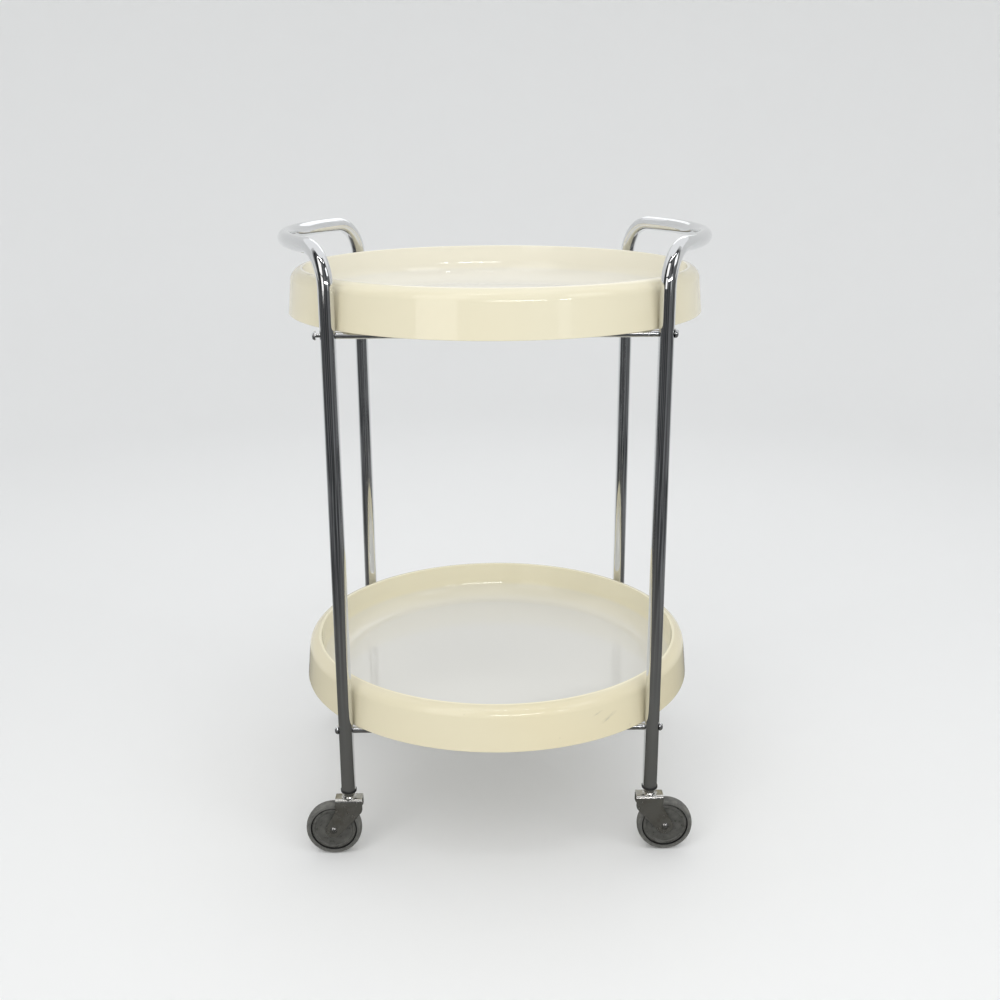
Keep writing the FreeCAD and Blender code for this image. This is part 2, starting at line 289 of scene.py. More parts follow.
def smear(tree, place, centre, turn, reach):
    """Mask of one rubbed mark: streaks along the turned X axis that fade out at the given reach."""
    inputs = {"Vector": place, "Location": centre, "Rotation": turn, "Scale": reach}
    mark = add(tree, "Mapping", inputs, vector_type="TEXTURE").outputs["Vector"]
    far = add(tree, "VectorMath", {0: mark}, operation="LENGTH").outputs["Value"]
    streaks = noise(tree, stretched(tree, mark, smear_stretch), 1.0, 3.0, 0.65)
    return product(tree, ramp(tree, far, 1.0, 0.1), ramp(tree, streaks, 0.40, 0.62))

# %% Colours and marks of the trays
cream_skirt = (0.75, 0.70, 0.535)
cream_wall = (0.875, 0.815, 0.61)
pale_wall = (0.875, 0.83, 0.69)
deep_cream = (0.75, 0.66, 0.43)
pale_floor = (0.76, 0.752, 0.718)
scuff_grey = (0.42, 0.39, 0.30)
speck_brown = (0.20, 0.16, 0.10)
# Distances from the axis where the colour changes, from the floor out to the rim
floor_edge, fillet_edge, wall_edge = 0.176, 0.2066, 0.2090
rim_start, rim_end = 0.2125, 0.2150
# Heights between which the lower tray's deeper colour ends
lower_tray, upper_tray = 0.30, 0.50
# The wall's step is partly the floor's unaged white and partly a painted reflection of the bright room
wall_paling_and_sheen, fillet_paling = 0.35, 0.65
patch_yellowing, lower_tray_deepening = 0.32, 0.30
# Two scuffs and three marks: centre, turn and reach of each
skirt_scuffs = (
    ((0.1172, -0.1936, 0.1772), (0.0, -0.42, 0.54), (0.0150, 0.012, 0.0032)),
    ((0.1046, -0.1998, 0.1850), (0.0, -0.30, 0.48), (0.0085, 0.012, 0.0016)),
    ((0.1420, -0.1784, 0.1603), (0.0, 0.0, 0.67), (0.0013, 0.004, 0.0015)),
    ((0.0632, -0.2185, 0.1662), (0.0, 0.0, 0.28), (0.0011, 0.004, 0.0013)),
    ((-0.0374, -0.2214, 0.1959), (0.0, 0.0, -0.17), (0.0009, 0.004, 0.0009)),
)
scuff_strength, speck_strength = 0.6, 0.85
rub_stretch = (260.0, 260.0, 55.0)
rub_turn = (0.3, 0.2, 0.5)
rub_roughness, rub_depth = 0.14, -0.05
print("marks on the lower skirt:", len(skirt_scuffs))

# %% Mix the cream plastic
def cream_plastic():
    """Glossy plastic, paler in the wells, deeper on the skirts, with rubbed marks and specks."""
    material, tree, shader = new_finish("cream_plastic_aged")
    place = object_place(tree)
    radius = from_axis(tree, place)
    height = add(tree, "SeparateXYZ", {"Vector": place}).outputs["Z"]
    # The lower tray is a little deeper in colour than the upper one, on the skirt and in the well
    lower = ramp(tree, height, upper_tray, lower_tray)
    patches = ramp(tree, noise(tree, place, 3.5, 2.0), 0.40, 0.68, 0.0, patch_yellowing)
    yellowing = total(tree, patches, product(tree, lower, lower_tray_deepening))
    # Paling towards the floor: the quick step just below the wall's bright line is partly painted reflection
    # of the bright room; the paling through the fillet is the floor's unaged white
    paling = total(tree, ramp(tree, radius, wall_edge, fillet_edge, 0.0, wall_paling_and_sheen),
                   ramp(tree, radius, fillet_edge, floor_edge, 0.0, fillet_paling))
    well = mixed(tree, paling, mixed(tree, lower, pale_wall, cream_wall), pale_floor)
    skirt = mixed(tree, yellowing, cream_skirt, deep_cream)
    colour = mixed(tree, ramp(tree, radius, rim_start, rim_end), well, skirt)

    streaks = noise(tree, stretched(tree, place, rub_stretch, rub_turn), 1.0, 3.0, 0.7)
    worn = product(tree, ramp(tree, streaks, 0.60, 0.66), ramp(tree, noise(tree, place, 14.0), 0.45, 0.65))
    for centre, turn, reach in skirt_scuffs:
        scuff = product(tree, smear(tree, place, centre, turn, reach), scuff_strength)
        colour = mixed(tree, scuff, colour, scuff_grey)
    speckled = product(tree, specks(tree, place, 42.0, 0.045, 0.035), speck_strength)
    colour = mixed(tree, speckled, colour, speck_brown)
    fill(tree, shader, {"Base Color": colour, "IOR": 1.52})

    haze = ramp(tree, noise(tree, place, 9.0, 4.0, 0.6), 0.35, 0.75, 0.02, 0.06)
    fill(tree, shader, {"Roughness": total(tree, haze, product(tree, worn, rub_roughness))})
    waviness = noise(tree, place, 16.0, 1.0)
    bumped(tree, shader, total(tree, waviness, product(tree, worn, rub_depth)), 0.10, 0.0012)
    return material


tray_finish = cream_plastic()
print("tray finish:", tray_finish.name, "nodes:", len(tray_finish.node_tree.nodes))

# %% [markdown]
# ## Chrome
# Chrome plate is a nearly perfect mirror, so what it shows is the room. The finish only adds what spoils
# the mirror a little: greasy haze where hands have been, fine rubbing marks along the tube, and tiny
# brown pits. The thin rods are duller than the tubes, so they get more haze, and the screw heads have the
# most pits.

# %% Chrome finish
chrome_colour = (0.76, 0.765, 0.77)
pit_brown = (0.13, 0.10, 0.07)
pit_roughness = 0.4
tube_rub = (900.0, 900.0, 26.0)
tube_rub_roughness = 0.06


def chrome_plate(name, haze_low, haze_high, pit_share):
    """Mirror plate with haze between two roughnesses, rubbing along the tube and a share of pits."""
    material, tree, shader = new_finish(name)
    place = object_place(tree)
    pitted_area = ramp(tree, noise(tree, place, 7.0), 0.42, 0.62)
    pits = product(tree, specks(tree, place, 190.0, 0.10, pit_share), pitted_area)
    fill(tree, shader, {"Base Color": mixed(tree, pits, chrome_colour, pit_brown), "Metallic": 1.0})
    haze = ramp(tree, noise(tree, place, 24.0, 4.0, 0.6), 0.45, 0.78, haze_low, haze_high)
    along_tube = stretched(tree, place, tube_rub)
    rubbed = ramp(tree, noise(tree, along_tube, 1.0, 2.0), 0.60, 0.70, 0.0, tube_rub_roughness)
    worn = total(tree, total(tree, haze, rubbed), product(tree, pits, pit_roughness))
    fill(tree, shader, {"Roughness": worn})
    bumped(tree, shader, noise(tree, place, 60.0, 2.0), 0.05, 0.0004)
    return material


tube_finish = chrome_plate("chrome_tube_plate", 0.035, 0.14, 0.05)
rod_finish = chrome_plate("chrome_rod_plate", 0.20, 0.30, 0.08)
screw_finish = chrome_plate("screw_head_plate", 0.035, 0.22, 0.10)
print("chrome finishes:", tube_finish.name, rod_finish.name, screw_finish.name)

# %% [markdown]
# ## Caster finishes
# The forks are pressed steel with a dull zinc plate that has gone brown in patches. The wheels are grey
# plastic with a softer grey tyre, and dust sits on the tread. An attribute holds each point's distance
# from the axle, so that rings and dust stay centred on every wheel wherever it stands.

# %% Zinc, steel, plastic and rubber finishes
zinc_colour = (0.66, 0.652, 0.62)
stain_brown = (0.36, 0.31, 0.25)
steel_colour = (0.50, 0.50, 0.50)
hub_grey = (0.072, 0.072, 0.065)
tyre_grey = (0.098, 0.098, 0.090)
dust_grey = (0.20, 0.195, 0.178)
# Painted shade for the floor of the tyre's groove
painted_groove_shade = (0.008, 0.008, 0.008)
collar_black = (0.012, 0.012, 0.012)
axle_distance = "from_axle"
press_grain = (320.0, 320.0, 110.0)


def zinc_plate():
    """Dull plate with brown patches and the fine grain of the rolled sheet."""
    material, tree, shader = new_finish("zinc_plate_dull")
    place = object_place(tree)
    stain = ramp(tree, noise(tree, place, 55.0, 3.0, 0.6), 0.50, 0.75, 0.0, 0.6)
    fill(tree, shader, {"Base Color": mixed(tree, stain, zinc_colour, stain_brown), "Metallic": 1.0})
    grain = noise(tree, stretched(tree, place, press_grain), 1.0, 2.0)
    fill(tree, shader, {"Roughness": ramp(tree, grain, 0.30, 0.75, 0.20, 0.28)})
    bumped(tree, shader, grain, 0.03, 0.0002)
    return material


def bright_steel():
    """Plain steel under a thin brown film."""
    material, tree, shader = new_finish("bright_steel")
    place = object_place(tree)
    film = noise(tree, place, 120.0, 3.0)
    colour = mixed(tree, product(tree, film, 0.3), steel_colour, stain_brown)
    fill(tree, shader, {"Base Color": colour, "Metallic": 1.0})
    fill(tree, shader, {"Roughness": ramp(tree, film, 0.3, 0.7, 0.16, 0.30)})
    return material


dust_fade = 2.5 * mm
dust_cover = 0.7
ring_waves = 9000.0
tyre_dust = 27.5 * mm
beyond_wheel = 100 * mm


def from_axle(tree):
    return add(tree, "Attribute", attribute_name=axle_distance).outputs["Fac"]


def wheel_grey(name, colour, dust_from, roughness):
    """Grey plastic or rubber with faint turned rings, and dust beyond a distance from the axle."""
    material, tree, shader = new_finish(name)
    place = object_place(tree)
    radius = from_axle(tree)
    cloud = noise(tree, place, 150.0, 4.0, 0.6)
    dust = product(tree, ramp(tree, radius, dust_from, dust_from + dust_fade), ramp(tree, cloud, 0.35, 0.65))
    mottled = mixed(tree, ramp(tree, cloud, 0.35, 0.75, 0.0, 0.35), colour, dust_grey)
    dusty = mixed(tree, product(tree, dust, dust_cover), mottled, dust_grey)
    fill(tree, shader, {"Base Color": dusty, "IOR": 1.48})
    fill(tree, shader, {"Roughness": ramp(tree, cloud, 0.3, 0.7, roughness - 0.08, roughness + 0.10)})
    rings = add(tree, "Math", {0: product(tree, radius, ring_waves)}, operation="SINE").outputs["Value"]
    bumped(tree, shader, total(tree, product(tree, rings, 0.3), cloud), 0.15, 0.0002)
    return material


def dark_plastic_and_shade(name, colour, roughness):
    """Black plastic with a thin film of dust; in the tyre's groove the black is painted shade."""
    material, tree, shader = new_finish(name)
    film = noise(tree, object_place(tree), 220.0, 3.0)
    fill(tree, shader, {"Base Color": mixed(tree, product(tree, film, 0.10), colour, dust_grey)})
    fill(tree, shader, {"Roughness": ramp(tree, film, 0.3, 0.7, roughness - 0.05, roughness + 0.10)})
    return material


fork_finish = zinc_plate()
steel_finish = bright_steel()
hub_finish = wheel_grey("hub_grey_plastic", hub_grey, beyond_wheel, 0.33)
tyre_finish = wheel_grey("tyre_grey_rubber", tyre_grey, tyre_dust, 0.62)
# The groove's near-black is painted shade on the tyre's rubber
groove_shade_finish = dark_plastic_and_shade("groove_shadow", painted_groove_shade, 0.7)
collar_finish = dark_plastic_and_shade("collar_black_plastic", collar_black, 0.45)
print("caster finishes made:", fork_finish.name, hub_finish.name, tyre_finish.name)

# %% [markdown]
# ## Trays
# Each tray is one moulding: a flat floor, a fillet, a wall that leans out a little, a broad rounded rim
# and a skirt that flares to the foot. Only the outer face is drawn. Solidify then gives the wall its
# thickness underneath, as the mould does, and leaves the hollow between wall and skirt open below.

# %% Model the trays
tray_wall = 3.0 * mm
rim_round = 13.0 * mm
rim_edge_round = 1.2 * mm
well_fillet = 28.0 * mm
foot_round = 0.8 * mm
foot_corner = radians(45)
skirt_draft = radians(5.5)
well_draft = radians(3.0)
fillet_steps, rim_edge_steps, rim_steps, foot_steps = 20, 5, 16, 3
tray_steps = 224


def moulded_tray(level):
    """Tray turned from its outer face, with its wall inside and its foot eased."""
    low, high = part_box(level + "_tray")
    radius = high.x
    height = high.z - low.z
    skirt_top = radius - height * tan(skirt_draft)
    outer_run = rim_round * tan(pi / 4 - skirt_draft / 2)
    inner_run = rim_edge_round * tan(pi / 4 - well_draft / 2)
    rim_inner = skirt_top - outer_run - inner_run
    floor_corner = rim_inner - (height - tray_wall) * tan(well_draft)
    section = [(0, tray_wall), (floor_corner, tray_wall), (rim_inner, height), (skirt_top, height),
               (radius, 0)]
    rounds = {1: (well_fillet, fillet_steps), 2: (rim_edge_round, rim_edge_steps), 3: (rim_round, rim_steps)}
    bm = turned(section, rounds, steps=tray_steps)
    face_up(bm, min(bm.faces, key=lambda face: face.calc_center_median().xy.length))
    bmesh.ops.solidify(bm, geom=bm.faces[:], thickness=tray_wall)
    for vert in bm.verts:
        vert.co.z = max(vert.co.z, 0)
    ease_edges(bm, foot_corner, foot_round, foot_steps)
    bmesh.ops.translate(bm, verts=bm.verts, vec=(0, 0, low.z))
    return finished_piece(level + "_tray_moulding", bm, tray_finish, level + "_tray", [level + "_tray"])


for level in levels:
    tray = moulded_tray(level)
    print(tray.name, "faces:", len(tray.data.polygons), "size:", [round(v, 4) for v in tray.dimensions])

# %% [markdown]
# ## Side frames
# One length of tube makes a front leg, a bowed handle and a rear leg. The section is a circle that is
# extruded up the leg, spun through the bend, spun along the level bow, and then back down. Spins give
# true bends of constant radius, which a bent tube has, and the ring of vertices follows them without
# twisting.

# %% Model the side frames
handle_bend_radius = 40.0 * mm
tube_wall = 1.2 * mm
tube_sides = 56
bend_steps = 22
bow_steps = 44


def bow_direction(side, end):
    """Level direction in which a leg's top bends towards the handle."""
    turn = pi / 2 - 2 * atan(handle_bow / (leg_offset + handle_bend_radius))
    return Vector((side * cos(turn), -end * sin(turn), 0))


def open_ring(geom):
    """Vertices and edges of the ring at the end of an extrusion or a spin."""
    verts = [item for item in geom if isinstance(item, bmesh.types.BMVert)]
    edges = [item for item in geom if isinstance(item, bmesh.types.BMEdge)]
    return verts, edges


def extrude_ring(bm, edges, step):
    """Draws a ring out along a step and returns the new ring."""
    made = bmesh.ops.extrude_edge_only(bm, edges=edges)
    verts, edges = open_ring(made["geom"])
    bmesh.ops.translate(bm, verts=verts, vec=step)
    return verts, edges


def spin_ring(bm, ring, centre, axis, angle, steps):
    """Carries a ring round a bend and returns the ring at its end."""
    verts, edges = ring
    made = bmesh.ops.spin(bm, geom=verts + edges, cent=centre, axis=axis, angle=angle, steps=steps)
    return open_ring(made["geom_last"])


def bent_tube(side_name):
    """Front leg, bowed handle and rear leg, drawn as one run of tube."""
    side = side_sign[side_name]
    up = Vector((0, 0, 1))
    leg_length = handle_height - handle_bend_radius - tube_end
    front_foot = Vector((side * leg_offset, -leg_offset, tube_end))
    front_top = front_foot + up * leg_length
    front_way = bow_direction(side, -1)
    rear_way = bow_direction(side, 1)
    front_end = front_top + front_way * handle_bend_radius + up * handle_bend_radius
    middle_x = side * (leg_offset + handle_bow)
    centre_x = (middle_x ** 2 - front_end.xy.length_squared) / (2 * (middle_x - front_end.x))
    bow_centre = Vector((centre_x, 0, handle_height))
    sweep = 2 * atan2(abs(front_end.y), abs(front_end.x - centre_x))

    bm = bmesh.new()
    foot_place = Matrix.Translation(front_foot)
    bmesh.ops.create_circle(bm, segments=tube_sides, radius=tube_radius, matrix=foot_place)
    ring = extrude_ring(bm, bm.edges[:], up * leg_length)
    bend_centre = front_top + front_way * handle_bend_radius
    ring = spin_ring(bm, ring, bend_centre, up.cross(front_way), pi / 2, bend_steps)
    ring = spin_ring(bm, ring, bow_centre, up * side, sweep, bow_steps)
    rear_centre = Vector((front_top.x, leg_offset, front_top.z)) + rear_way * handle_bend_radius
    ring = spin_ring(bm, ring, rear_centre, rear_way.cross(up), pi / 2, bend_steps)
    extrude_ring(bm, ring[1], -up * leg_length)
    bmesh.ops.remove_doubles(bm, verts=bm.verts, dist=weld_distance)
    bmesh.ops.recalc_face_normals(bm, faces=bm.faces)
    bmesh.ops.solidify(bm, geom=bm.faces[:], thickness=tube_wall)
    return finished_piece(side_name + "_bent_tube", bm, tube_finish, "frame", [side_name + "_side_frame"])


for side_name in side_sign:
    tube = bent_tube(side_name)
    print(tube.name, "faces:", len(tube.data.polygons), "size:", [round(v, 4) for v in tube.dimensions])

# %% [markdown]
# ## Cross rods and screws
# The trays lie on four thin rods. Each end of a rod butts against a leg and is held by a dome-headed
# screw that passes through the tube. One screw has worked loose and stands off, which its measured place
# already says. The head is turned, and a slot for the driver is then cut out of it.

# %% Model the rods
rod_end_round = 0.5 * mm
rod_steps = 40


def cross_rod(name):
    """Round bar with eased ends, laid along X where the frame has it."""
    low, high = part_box(name)
    radius = (high.z - low.z) / 2
    half = (high.x - low.x) / 2
    section = [(0, -half), (radius, -half), (radius, half), (0, half)]
    bm = turned(section, {1: (rod_end_round, 2), 2: (rod_end_round, 2)}, steps=rod_steps)
    bmesh.ops.rotate(bm, verts=bm.verts, matrix=Matrix.Rotation(pi / 2, 3, "Y"))
    bmesh.ops.translate(bm, verts=bm.verts, vec=(low + high) / 2)
    return finished_piece(name + "_bar", bm, rod_finish, "frame", [name])


rods = [cross_rod(f"{level}_{end}_rod") for level in levels for end in end_sign]
print("rods:", [rod.name for rod in rods])

# %% Model the screws
screw_radius = 2.0 * mm
head_height = 4.0 * mm
head_dome = 3.44 * mm
head_edge_round = 0.3 * mm
shank_end_round = 0.5 * mm
slot_width = 1.2 * mm
slot_depth = 1.5 * mm
slot_turn = radians(35)
dome_steps = 10
screw_steps = 48


def cut_out(bm, cutter):
    """Boolean difference of two meshes, as a new bmesh."""
    pair = []
    for part in (bm, cutter):
        mesh = bpy.data.meshes.new("boolean_part")
        part.to_mesh(mesh)
        part.free()
        pair.append(bpy.data.objects.new("boolean_part", mesh))
        bpy.context.scene.collection.objects.link(pair[-1])
    body, tool = pair
    modifier = body.modifiers.new("cut", "BOOLEAN")
    modifier.operation = "DIFFERENCE"
    modifier.solver = "EXACT"
    modifier.object = tool
    result = bmesh.new()
    result.from_object(body, bpy.context.evaluated_depsgraph_get())
    for item in pair:
        bpy.data.objects.remove(item)
    return result


def dome_screw(name):
    """Screw turned about Z from its head's seat, then laid along X where the frame has it."""
    low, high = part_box(name)
    side = 1 if low.x > 0 else -1
    head_radius = (high.z - low.z) / 2
    shank = high.x - low.x - head_height
    section = [(0, head_height), (head_radius, head_height), (head_radius, 0), (screw_radius, 0),
               (screw_radius, -shank), (0, -shank)]
    rounds = {1: (head_dome, dome_steps), 2: (head_edge_round, 2), 4: (shank_end_round, 2)}
    bm = turned(section, rounds, steps=screw_steps)
    blade = bmesh.new()
    bmesh.ops.create_cube(blade, size=1.0)
    bmesh.ops.scale(blade, verts=blade.verts, vec=(4 * head_radius, slot_width, 2 * slot_depth))
    bmesh.ops.rotate(blade, verts=blade.verts, matrix=Matrix.Rotation(slot_turn, 3, "Z"))
    bmesh.ops.translate(blade, verts=blade.verts, vec=(0, 0, head_height))
    bm = cut_out(bm, blade)
    bmesh.ops.rotate(bm, verts=bm.verts, matrix=Matrix.Rotation(side * pi / 2, 3, "Y"))
    seat = (high.x if side > 0 else low.x) - side * head_height
    bmesh.ops.translate(bm, verts=bm.verts, vec=(seat, (low.y + high.y) / 2, (low.z + high.z) / 2))
    return finished_piece(name + "_dome", bm, screw_finish, "frame", [name])


screws = [dome_screw(f"{level}_{end}_{side}_screw") for level in levels for end, side in corners]
loose_gap = -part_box("top_front_left_screw")[0].x - head_height - leg_offset - tube_radius
print("screws:", len(screws), "the loose one stands off by", round(loose_gap / mm, 2), "mm")

# %% [markdown]
# ## Casters
# Every caster is modelled about its own stem, with the wheel trailing along +X, and then moved to its
# leg. The left casters trail to the left, so they are turned half round first.

# %% Place a caster piece
def to_leg(bm, end, side):
    """Moves a piece from the stem's own frame to its leg."""
    if side == "left":
        bmesh.ops.rotate(bm, verts=bm.verts, matrix=Matrix.Rotation(pi, 3, "Z"))
    leg_place = (side_sign[side] * leg_offset, end_sign[end] * leg_offset, 0)
    bmesh.ops.translate(bm, verts=bm.verts, vec=leg_place)


def to_axle(bm):
    """Moves a wheel piece from the origin to the axle in the stem's own frame."""
    bmesh.ops.translate(bm, verts=bm.verts, vec=(caster_trail, 0, wheel_radius))

# %% [markdown]
# The fork is one blank of sheet steel. Half of it is drawn as a flat plate with a rounded nose, its top
# edge is spun through the bend and run to the middle, and a mirror makes the other half. Solidify gives
# the sheet its thickness and a small bevel takes the edge off. Round bars then cut the holes for the axle
# and the stem, as a press would, and the hollow bearing cup is turned separately and sits on the crown,
# where its foot is let down to follow the bend.

# %% Draw the fork's plate
fork_low, fork_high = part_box("front_right_caster_fork")
fork_half = (fork_high.y - fork_low.y) / 2
fork_width = 2 * (leg_offset - fork_low.x)
cup_top = fork_high.z
boss_radius = wheel_radius - fork_low.z
fork_plate = 2.0 * mm
cup_rise = 2.5 * mm
crown_top = cup_top - cup_rise
bend_outside = 4.5 * mm
fork_shoulder = 15.0 * mm


def tangent_point(start, centre, radius, turn):
    """Where a line from a point touches a circle, on the side that turn (1 or -1) gives."""
    way = centre - start
    reach = (way.length_squared - radius ** 2) ** 0.5
    touching_way = Matrix.Rotation(turn * atan(radius / reach), 2) @ way
    return start + touching_way * (reach / way.length)


def fork_plate_outline():
    """Corners of one side plate, as (x, z) points, with the nose still square."""
    half = fork_width / 2
    shoulder = crown_top - fork_shoulder
    axle = Vector((caster_trail, wheel_radius))
    way = (axle - Vector((0, shoulder))).normalized()
    nose = axle + way * boss_radius
    across = Vector((-way.y, way.x))
    square = []
    for x, turn in ((half, 1), (-half, -1)):
        start = Vector((x, shoulder))
        touch = tangent_point(start, axle, boss_radius, turn)
        line_ends = [point.to_3d() for point in (start, touch, nose, nose + across)]
        square.append(geometry.intersect_line_line(*line_ends)[0].xy)
    bend_start = crown_top - bend_outside
    top = [Vector((-half, bend_start)), Vector((half, bend_start))]
    return top + [Vector((half, shoulder)), square[0], square[1], Vector((-half, shoulder))]


print("fork plate corners:", [tuple(round(v, 4) for v in corner) for corner in fork_plate_outline()])

# %% Bend the fork and cut its holes
nose_share = 0.49
fork_shoulder_round = 3.0 * mm
nose_steps, shoulder_steps, fork_bend_steps, ease_steps = 10, 5, 8, 2
plate_corner = radians(50)
edge_ease = 0.3 * mm
mirror_weld = 1e-5
axle_hole = 2.52 * mm
cup_top_radius = 6.2 * mm
hole_sides = 48


def round_bar(radius, length, centre, turn):
    """Upright bar turned about X and moved to its centre, to cut a hole with."""
    bar = bmesh.new()
    bmesh.ops.create_cone(bar, cap_ends=True, segments=hole_sides, radius1=radius, radius2=radius,
                          depth=length)
    bmesh.ops.rotate(bar, verts=bar.verts, matrix=Matrix.Rotation(turn, 3, "X"))
    bmesh.ops.translate(bar, verts=bar.verts, vec=centre)
    return bar


def bent_fork():
    """Bent sheet with its thickness, its eased edges and its holes."""
    bm = bmesh.new()
    outline = fork_plate_outline()
    verts = [bm.verts.new((x, -fork_half, z)) for x, z in outline]
    bm.faces.new(verts)
    top_edge = bm.edges.get((verts[0], verts[1]))
    nose_width = (outline[3] - outline[4]).length
    for vert in verts[3:5]:
        trim_vertex(bm, vert, nose_share * nose_width, nose_steps)
    for vert in (verts[2], verts[5]):
        trim_vertex(bm, vert, fork_shoulder_round, shoulder_steps)
    bend_centre = (0, bend_outside - fork_half, crown_top - bend_outside)
    top_line = (list(top_edge.verts), [top_edge])
    ring = spin_ring(bm, top_line, bend_centre, (1, 0, 0), -pi / 2, fork_bend_steps)
    extrude_ring(bm, ring[1], (0, fork_half - bend_outside, 0))
    bmesh.ops.mirror(bm, geom=bm.verts[:] + bm.edges[:] + bm.faces[:], axis="Y", merge_dist=mirror_weld)
    bmesh.ops.remove_doubles(bm, verts=bm.verts, dist=weld_distance)
    bmesh.ops.recalc_face_normals(bm, faces=bm.faces)
    face_up(bm, max(bm.faces, key=lambda face: face.calc_center_median().z))
    bmesh.ops.solidify(bm, geom=bm.faces[:], thickness=fork_plate)
    ease_edges(bm, plate_corner, edge_ease, ease_steps)
    bm = cut_out(bm, round_bar(axle_hole, 4 * fork_half, (caster_trail, 0, wheel_radius), pi / 2))
    return cut_out(bm, round_bar(cup_top_radius, 4 * fork_plate, (0, 0, crown_top), 0))

# %% Add the bearing cup
cup_base_radius = 7.6 * mm
cup_hollow = 6.1 * mm
cup_flare = 1.2 * mm
cup_sink = 0.1 * mm
cup_top_round = 1.2 * mm
cup_foot_round = 1.5 * mm
cup_foot_rise = 0.2 * mm
shank_hole = 3.06 * mm


def bearing_cup():
    """Hollow cup; past the crown's flat its foot is let down to follow the bend."""
    roof = cup_top - fork_plate
    foot = crown_top - fork_plate / 2
    section = [(shank_hole, roof), (shank_hole, cup_top), (cup_top_radius, cup_top),
               (cup_base_radius, crown_top + cup_sink), (cup_base_radius + cup_flare, crown_top - cup_sink),
               (cup_base_radius, foot), (cup_hollow, foot), (cup_hollow, roof), (shank_hole, roof)]
    cup = turned(section, {2: (cup_top_round, 5), 3: (cup_foot_round, 5)}, steps=hole_sides)
    crown_flat = fork_half - bend_outside
    for vert in cup.verts:
        past_flat = abs(vert.co.y) - crown_flat
        if past_flat > 0 and vert.co.z < crown_top + cup_foot_rise:
            vert.co.z -= bend_outside - (bend_outside ** 2 - past_flat ** 2) ** 0.5
    return cup


def pressed_fork(end, side):
    """Fork and cup as one piece, moved to their leg."""
    bm = bent_fork()
    cup = bearing_cup()
    cup_mesh = bpy.data.meshes.new("bearing_cup")
    cup.to_mesh(cup_mesh)
    cup.free()
    bm.from_mesh(cup_mesh)
    bpy.data.meshes.remove(cup_mesh)
    to_leg(bm, end, side)
    node = f"{end}_{side}_caster_fork"
    return finished_piece(f"{end}_{side}_pressed_fork", bm, fork_finish, f"{end}_{side}_swivel", [node])


forks = [pressed_fork(end, side) for end, side in corners]
print("forks:", [(fork.name, len(fork.data.polygons)) for fork in forks])

# %% [markdown]
# The wheel has a dished plastic hub and a crowned tyre. A narrow groove parts them on each face, and it
# reads as a black ring because no light gets down to its floor. That shade is painted: the groove's faces
# get a near-black finish of their own, so that it stays black from every side.

# %% Model the hubs
hub_low, hub_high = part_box("front_right_caster_hub")
hub_radius = hub_high.x - axle_offset
boss_half = (hub_high.y - hub_low.y) / 2
tyre_low, tyre_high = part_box("front_right_caster_tyre")
tyre_half = (tyre_high.y - tyre_low.y) / 2
sleeve_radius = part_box("front_right_caster_axle_sleeve")[1].z - wheel_radius
running_fit = 0.06 * mm
hub_bore = sleeve_radius + running_fit
hub_boss = 7.5 * mm
lip_setback = 0.5 * mm
hub_lip = tyre_half - lip_setback
hub_dish = 1.0 * mm
lip_width = 3.0 * mm
boss_round, dish_round = 0.5 * mm, 0.8 * mm
lip_inner_round, lip_outer_round = 0.6 * mm, 1.4 * mm
hub_steps = 88


def mark_axle_distance(piece, axle_x):
    """Writes each point's distance from the wheel's axle, for the finish to read."""
    layer = piece.data.attributes.new(axle_distance, "FLOAT", "POINT")
    for vert, value in zip(piece.data.vertices, layer.data):
        value.value = hypot(vert.co.x - axle_x, vert.co.z - wheel_radius)


def wheel_piece(bm, end, side, kind, finish):
    """Moves a turned hub or tyre to its axle and finishes it."""
    to_axle(bm)
    to_leg(bm, end, side)
    node = f"{end}_{side}_caster_{kind}"
    piece = finished_piece(f"{end}_{side}_wheel_{kind}", bm, finish, f"{end}_{side}_wheel", [node])
    mark_axle_distance(piece, side_sign[side] * axle_offset)
    return piece


def dished_hub(end, side):
    """Hub with a boss, a dish and a lip, the same on both faces."""
    dish = hub_lip - hub_dish
    inner_lip = hub_radius - lip_width
    half = [(hub_bore, boss_half), (hub_boss, boss_half), (hub_boss + hub_dish, dish),
            (inner_lip - hub_dish, dish), (inner_lip, hub_lip), (hub_radius, hub_lip)]
    section = half + [(radius, -along) for radius, along in reversed(half)] + half[:1]
    half_rounds = [(boss_round, 3), (dish_round, 3), (dish_round, 3), (lip_inner_round, 3),
                   (lip_outer_round, 5)]
    rounds = dict(enumerate(half_rounds + half_rounds[::-1], start=1))
    bm = turned(section, rounds, axis="Y", steps=hub_steps)
    return wheel_piece(bm, end, side, "hub", hub_finish)


hubs = [dished_hub(end, side) for end, side in corners]
print("hubs:", len(hubs), "faces of each:", len(hubs[0].data.polygons))

# %% Model the tyres
groove_width = 1.3 * mm
groove_depth = 2.2 * mm
groove_round = 0.35 * mm
groove_margin = 0.05 * mm
tyre_crown = 1.0 * mm
tyre_shoulder_round = 1.0 * mm
tread_round = 9.0 * mm
tread_drop = 0.25 * tyre_crown
tread_edge = 0.55 * tyre_half
press_fit = 0.02 * mm
tyre_steps = 112


